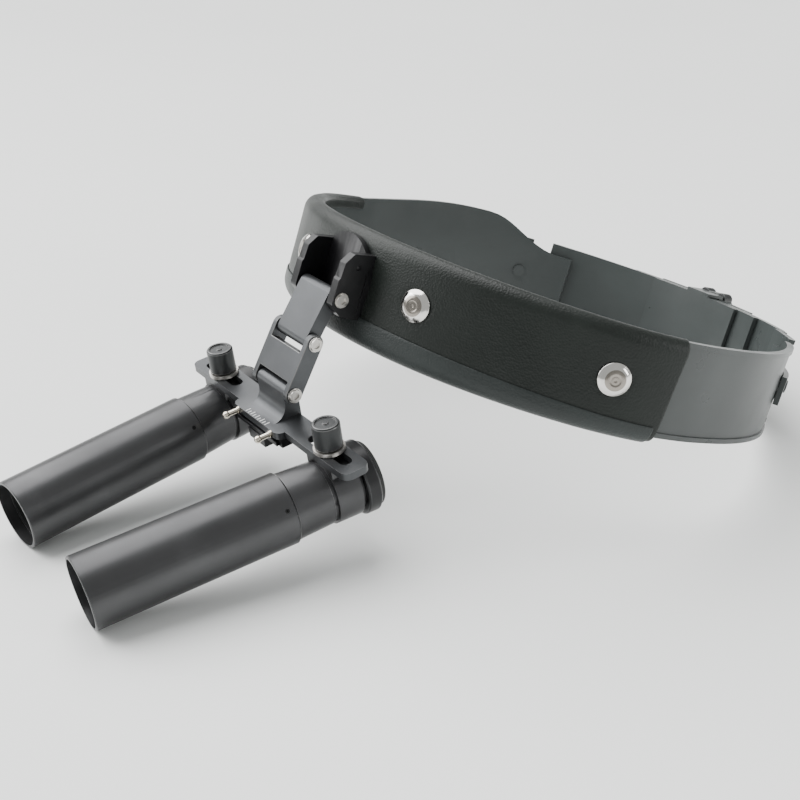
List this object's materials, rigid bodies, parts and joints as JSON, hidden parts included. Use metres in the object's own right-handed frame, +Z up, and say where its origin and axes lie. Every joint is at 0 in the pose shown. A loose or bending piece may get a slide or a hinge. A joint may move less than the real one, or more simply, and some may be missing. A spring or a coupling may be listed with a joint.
{
  "type": "dental loupes",
  "caption": "Headband-mounted telescopic loupes: long barrels on a slotted bridge bar, a two-link folding arm, a leather-covered band and a ratchet at the back.",
  "frame": {"origin": "centre of the bounding box on the table, as the loupes lie in the stored pose", "axes": "+X to the wearer's left, +Y from the barrels' mouths to the back of the head, +Z up from the table"},
  "size_m": [0.1818, 0.296, 0.0911],
  "materials": {
    "band_plastic": "satin",
    "cover_leather": "fine grain, semi-matte",
    "bright_steel": "polished",
    "screw_steel": "satin",
    "anodised_aluminium": "satin black anodised",
    "black_mount": "semi-matte black",
    "thumb_black": "satin black anodised",
    "pin_brass": "polished",
    "optical_glass": "coated, clear",
    "inner_black": "matte black",
    "eyecup_rubber": "matte"
  },
  "bodies": {
    "headband": {"front_band": "band_plastic", "leather_cover": "cover_leather", "rivet_caps": "bright_steel", "rivet_backs": "bright_steel", "mount_fork": "black_mount", "mount_screws": "screw_steel", "band_studs": "bright_steel", "housing_cover": "band_plastic", "housing_base": "band_plastic", "housing_screws": "screw_steel", "ratchet_ring": "black_mount", "upper_hinge_pin": "screw_steel", "upper_hinge_nut": "screw_steel"},
    "left_strap": {"strap_left": "band_plastic"},
    "right_strap": {"strap_right": "band_plastic"},
    "knob": {"ratchet_knob": "band_plastic", "knob_pinion": "screw_steel", "knob_screw": "screw_steel", "pawl_spring": "screw_steel"},
    "upper_link": {"upper_link": "anodised_aluminium"},
    "lower_link": {"lower_link": "anodised_aluminium", "middle_hinge_pin": "screw_steel", "middle_hinge_nut": "screw_steel", "lower_hinge_pin": "screw_steel", "lower_hinge_nut": "screw_steel"},
    "bridge": {"bridge_bar": "anodised_aluminium", "guide_rail": "black_mount", "ball_pins": "pin_brass"},
    "left_barrel": {"left_bracket": "anodised_aluminium", "left_clamp_screw": "screw_steel", "left_sleeve": "anodised_aluminium", "left_objective": "optical_glass", "left_lens_ring": "inner_black", "left_neck": "anodised_aluminium", "left_prism": "optical_glass", "left_field_stop": "inner_black", "left_eyepiece": "anodised_aluminium", "left_eye_lens": "optical_glass", "left_eyecup": "eyecup_rubber", "left_set_screws": "inner_black", "left_washer": "screw_steel"},
    "right_barrel": {"right_bracket": "anodised_aluminium", "right_clamp_screw": "screw_steel", "right_sleeve": "anodised_aluminium", "right_objective": "optical_glass", "right_lens_ring": "inner_black", "right_neck": "anodised_aluminium", "right_prism": "optical_glass", "right_field_stop": "inner_black", "right_eyepiece": "anodised_aluminium", "right_eye_lens": "optical_glass", "right_eyecup": "eyecup_rubber", "right_set_screws": "inner_black", "right_washer": "screw_steel"},
    "left_thumb": {"left_thumb_screw": "thumb_black"},
    "right_thumb": {"right_thumb_screw": "thumb_black"}
  },
  "joints": [
    {"name": "flip_upper", "type": "hinge", "parent": "headband", "child": "upper_link", "pos_m": [0, -0.04766, 0.07319], "axis": [-1, 0, 0], "range_deg": [-10, 45]},
    {"name": "flip_middle", "type": "hinge", "parent": "upper_link", "child": "lower_link", "pos_m": [0, -0.05656, 0.05989], "axis": [-1, 0, 0], "range_deg": [-10, 45]},
    {"name": "flip_lower", "type": "hinge", "parent": "lower_link", "child": "bridge", "pos_m": [0, -0.06486, 0.0446], "axis": [-1, 0, 0], "range_deg": [-20, 30]},
    {"name": "left_pupil_slide", "type": "slide", "parent": "bridge", "child": "left_barrel", "axis": [1, 0, 0], "range_m": [-0.007, 0.007]},
    {"name": "right_pupil_slide", "type": "slide", "parent": "bridge", "child": "right_barrel", "axis": [-1, 0, 0], "range_m": [-0.007, 0.007]},
    {"name": "left_thumb_turn", "type": "hinge", "parent": "left_barrel", "child": "left_thumb", "pos_m": [0.0333, -0.06703, 0.03976], "axis": [0, -0.1345, 0.9909], "range_deg": [-180, 180]},
    {"name": "right_thumb_turn", "type": "hinge", "parent": "right_barrel", "child": "right_thumb", "pos_m": [-0.0333, -0.06703, 0.03976], "axis": [0, -0.1345, 0.9909], "range_deg": [-180, 180]},
    {"name": "knob_turn", "type": "hinge", "parent": "headband", "child": "knob", "pos_m": [0, 0.14053, 0.01636], "axis": [0, 0.9421, -0.3355], "range_deg": [-56, 100]},
    {"name": "left_strap_take_up", "type": "hinge", "parent": "headband", "child": "left_strap", "pos_m": [0, 0.04446, 0.04527], "axis": [0, 0.3355, 0.9421], "range_deg": [-3.1, 5.6]},
    {"name": "right_strap_take_up", "type": "hinge", "parent": "headband", "child": "right_strap", "pos_m": [0, 0.04446, 0.04527], "axis": [0, -0.3355, -0.9421], "range_deg": [-3.15, 5.65]}
  ],
  "couplings": [
    {"joint": "left_strap_take_up", "follows": "knob_turn", "ratio": 0.053505},
    {"joint": "right_strap_take_up", "follows": "knob_turn", "ratio": 0.054765}
  ]
}
